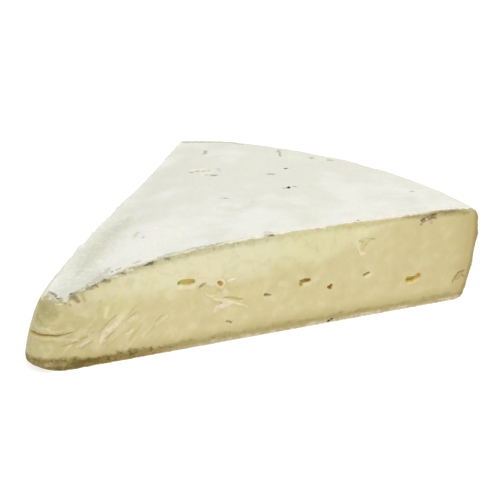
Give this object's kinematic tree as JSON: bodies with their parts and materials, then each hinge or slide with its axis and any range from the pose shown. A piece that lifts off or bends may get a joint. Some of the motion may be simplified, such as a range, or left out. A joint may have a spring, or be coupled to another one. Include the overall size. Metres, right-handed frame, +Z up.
{
  "type": "cheese wedge",
  "caption": "Wedge cut from a flat, soft, bloomy-rind cheese wheel, with a blunt sunken nose, a white rind and small eyes in its cut faces.",
  "frame": {"origin": "bottom centre of the wedge's bounding box, on the surface it rests on", "axes": "+X along the front cut face from the nose to the heel, +Y from that face into the cheese, +Z up"},
  "size_m": [0.155, 0.1218, 0.0354],
  "materials": {
    "cheese": "pale yellow soft paste with a slight sheen, and a matt white felted rind on the top, the rim and the underside"
  },
  "bodies": {
    "root": {"cheese_wedge": "cheese"}
  },
  "joints": []
}
